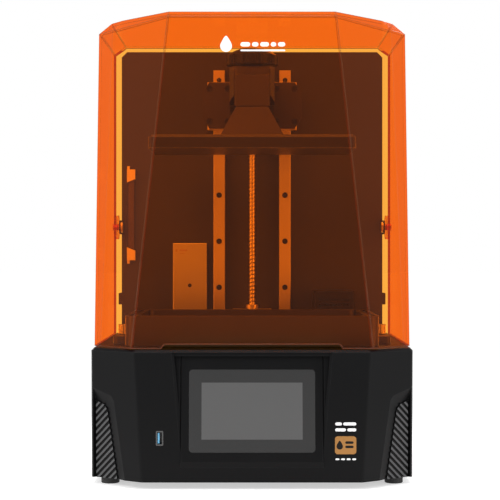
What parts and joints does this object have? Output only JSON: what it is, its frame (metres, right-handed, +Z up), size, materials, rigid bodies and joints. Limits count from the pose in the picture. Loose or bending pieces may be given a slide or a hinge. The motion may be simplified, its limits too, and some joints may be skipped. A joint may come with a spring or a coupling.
{
  "type": "resin printer",
  "caption": "Desktop resin 3-D printer with a black base and leaning touch screen, a hinged faceted amber cover, a screw-driven build platform and a lift-out resin vat.",
  "frame": {"origin": "centre of the overall footprint, on the surface that the feet stand on", "axes": "+Z up, the screen and the front of the cover face -Y, +X is the viewer's right"},
  "size_m": [0.366, 0.365, 0.5329],
  "materials": {
    "black_shell": "fine moulded grain",
    "ribbed_grip": "ribbed satin black",
    "black_sheet": "powder coated black",
    "rubber": "matt",
    "touch_glass": "dark printed glass",
    "display": "switched off display",
    "steel": "ground steel",
    "port_blue": "moulded blue",
    "badge": "satin gold plate",
    "fan_plastic": "moulded",
    "board": "solder mask",
    "galvanised": "zinc plated",
    "aluminium": "bead blasted",
    "lens": "clear",
    "duct": "matt black",
    "mask": "polished screen",
    "carbon": "granular",
    "light_strip": "opal diffuser",
    "black_anodised": "black anodised",
    "plate": "laser textured dark",
    "film": "clear film",
    "cover_amber": "clear amber"
  },
  "bodies": {
    "chassis": {"base_shell": "black_shell", "corner_grip_right": "ribbed_grip", "corner_grip_left": "ribbed_grip", "top_deck": "black_shell", "base_floor": "black_sheet", "rear_panel": "black_sheet", "rubber_feet": "rubber", "screen_panel": "black_shell", "touch_glass": "touch_glass", "touch_display": "display", "usb_shell": "steel", "usb_tongue": "port_blue", "badge_plate": "badge", "power_inlet": "black_shell", "power_frame": "black_shell", "rear_fan_frame": "fan_plastic", "mainboard": "board", "power_supply": "galvanised", "led_heatsink": "aluminium", "led_board": "board", "lens_array": "lens", "light_housing": "duct", "light_fan_frame": "fan_plastic", "mask_screen": "mask", "mask_frame": "duct", "column_plate": "black_sheet", "tower_cover": "black_shell", "rail_left": "steel", "rail_right": "steel", "tower_screws": "steel", "lower_bearing_block": "aluminium", "upper_bearing_block": "aluminium", "z_motor": "galvanised", "heater_housing": "aluminium", "filter_housing": "black_shell", "filter_cartridge": "carbon", "light_bar": "light_strip", "hinge_brackets": "black_sheet", "hinge_pins": "steel", "cover_catches": "black_sheet"},
    "cover": {"cover_shell": "cover_amber", "cover_bosses": "cover_amber"},
    "carriage": {"rail_blocks": "steel", "ball_nut": "aluminium", "carriage_plate": "black_anodised", "carriage_screws": "steel", "platform_arm": "black_anodised"},
    "lift_screw": {"ball_screw": "steel", "shaft_coupling": "aluminium"},
    "platform": {"clamp_block": "black_anodised", "build_plate": "plate"},
    "knob": {"clamp_knob": "black_anodised"},
    "vat": {"vat_frame": "black_anodised", "film_clamp": "aluminium", "vat_film": "film"},
    "thumb_screw_left": {"vat_screw_left": "steel"},
    "thumb_screw_right": {"vat_screw_right": "steel"},
    "rocker": {"power_rocker": "fan_plastic"},
    "rear_rotor": {"rear_fan_rotor": "fan_plastic"},
    "light_rotor": {"light_fan_rotor": "fan_plastic"}
  },
  "joints": [
    {"name": "cover_hinge", "type": "hinge", "parent": "chassis", "child": "cover", "pos_m": [0, 0.118, 0.296], "axis": [-1, 0, 0], "range_deg": [0, 78]},
    {"name": "lift_slide", "type": "slide", "parent": "chassis", "child": "carriage", "axis": [0, 0, 1], "range_m": [-0.229, 0.008]},
    {"name": "lift_screw_turn", "type": "hinge", "parent": "chassis", "child": "lift_screw", "pos_m": [0, 0.11, 0.3], "axis": [0, 0, 1], "continuous": true},
    {"name": "platform_slide", "type": "slide", "parent": "carriage", "child": "platform", "axis": [0, -1, 0], "range_m": [0, 0.045]},
    {"name": "clamp_knob_turn", "type": "hinge", "parent": "carriage", "child": "knob", "pos_m": [0, -0.03, 0.489], "axis": [0, 0, 1], "range_deg": [0, 540]},
    {"name": "vat_lift", "type": "slide", "parent": "chassis", "child": "vat", "axis": [0, 0, 1], "range_m": [0, 0.06]},
    {"name": "left_thumb_screw_turn", "type": "hinge", "parent": "vat", "child": "thumb_screw_left", "pos_m": [-0.154, -0.03, 0.17], "axis": [0, 0, 1], "range_deg": [0, 720]},
    {"name": "right_thumb_screw_turn", "type": "hinge", "parent": "vat", "child": "thumb_screw_right", "pos_m": [0.154, -0.03, 0.17], "axis": [0, 0, 1], "range_deg": [0, 720]},
    {"name": "power_rocker_tip", "type": "hinge", "parent": "chassis", "child": "rocker", "pos_m": [0.118, 0.1766, 0.088], "axis": [0, 0, 1], "range_deg": [0, 10.6]},
    {"name": "rear_fan_spin", "type": "hinge", "parent": "chassis", "child": "rear_rotor", "pos_m": [-0.105, 0.167, 0.08], "axis": [0, 1, 0], "continuous": true},
    {"name": "light_fan_spin", "type": "hinge", "parent": "chassis", "child": "light_rotor", "pos_m": [0, 0.0535, 0.04], "axis": [0, 1, 0], "continuous": true}
  ],
  "couplings": [
    {"joint": "lift_screw_turn", "follows": "lift_slide", "rad_per_m": -1256.6}
  ]
}
